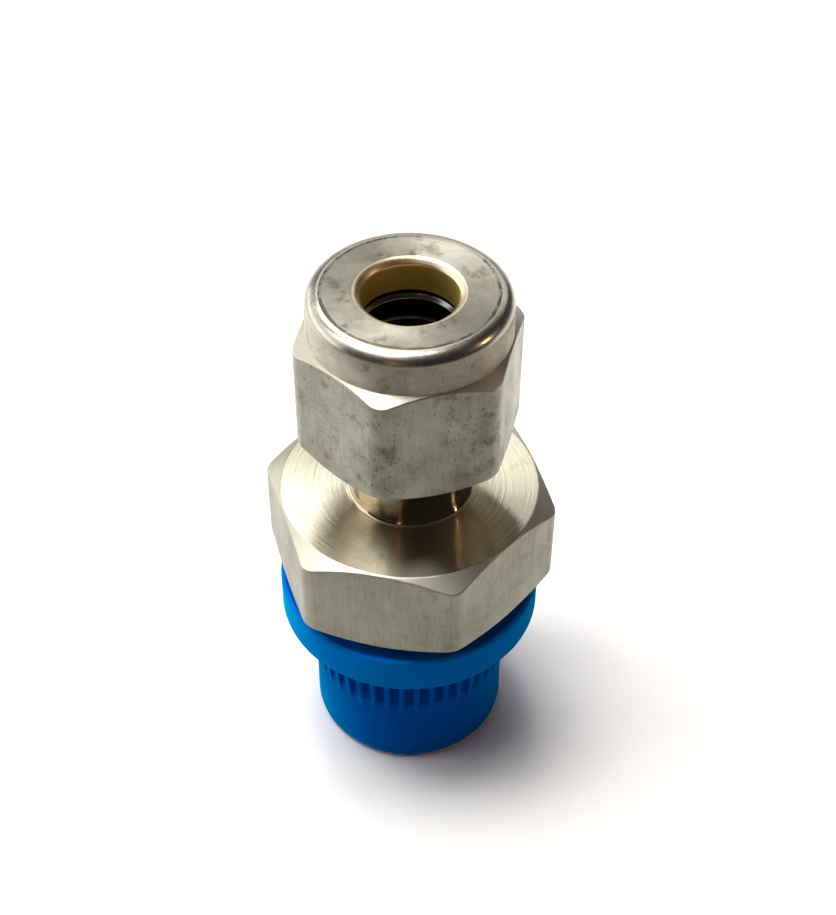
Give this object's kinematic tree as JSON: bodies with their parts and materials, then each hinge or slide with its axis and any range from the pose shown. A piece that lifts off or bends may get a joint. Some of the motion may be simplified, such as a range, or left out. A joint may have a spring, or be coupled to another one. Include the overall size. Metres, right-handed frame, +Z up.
{
  "type": "male tube connector",
  "caption": "Straight male tube connector with a hexagon nut, twin ferrules, a tube socket and a pipe thread under a push-on cap.",
  "frame": {"origin": "on the floor under the cap's foot, on the common axis of all pieces", "axes": "+Z up along the common axis, from the capped pipe thread towards the tube end; one corner of the body's hexagon points to -Y"},
  "size_m": [0.0196, 0.0216, 0.0415],
  "materials": {
    "body_steel": "turned and milled, bright neck and end face, dull flats",
    "nut_steel": "milled flats, bright collar edge, silvered bore",
    "ferrule_steel": "fine turned, bright",
    "cap_plastic": "soft moulded polyethylene, satin gloss"
  },
  "bodies": {
    "cap": {"thread_cap": "cap_plastic"},
    "fitting": {"fitting_body": "body_steel"},
    "ferrules": {"front_ferrule": "ferrule_steel", "back_ferrule": "ferrule_steel"},
    "nut": {"nut": "nut_steel"}
  },
  "joints": [
    {"name": "fitting_lift", "type": "slide", "parent": "cap", "child": "fitting", "axis": [0, 0, 1], "range_m": [0, 0.018]},
    {"name": "ferrule_advance", "type": "slide", "parent": "fitting", "child": "ferrules", "axis": [0, 0, 1], "range_m": [0, 0.00763]},
    {"name": "nut_turn", "type": "hinge", "parent": "ferrules", "child": "nut", "pos_m": [0, 0, 0.035], "axis": [0, 0, 1], "range_deg": [0, 2160]}
  ],
  "couplings": [
    {"joint": "ferrule_advance", "follows": "nut_turn", "m_per_rad": 0.00020213}
  ]
}
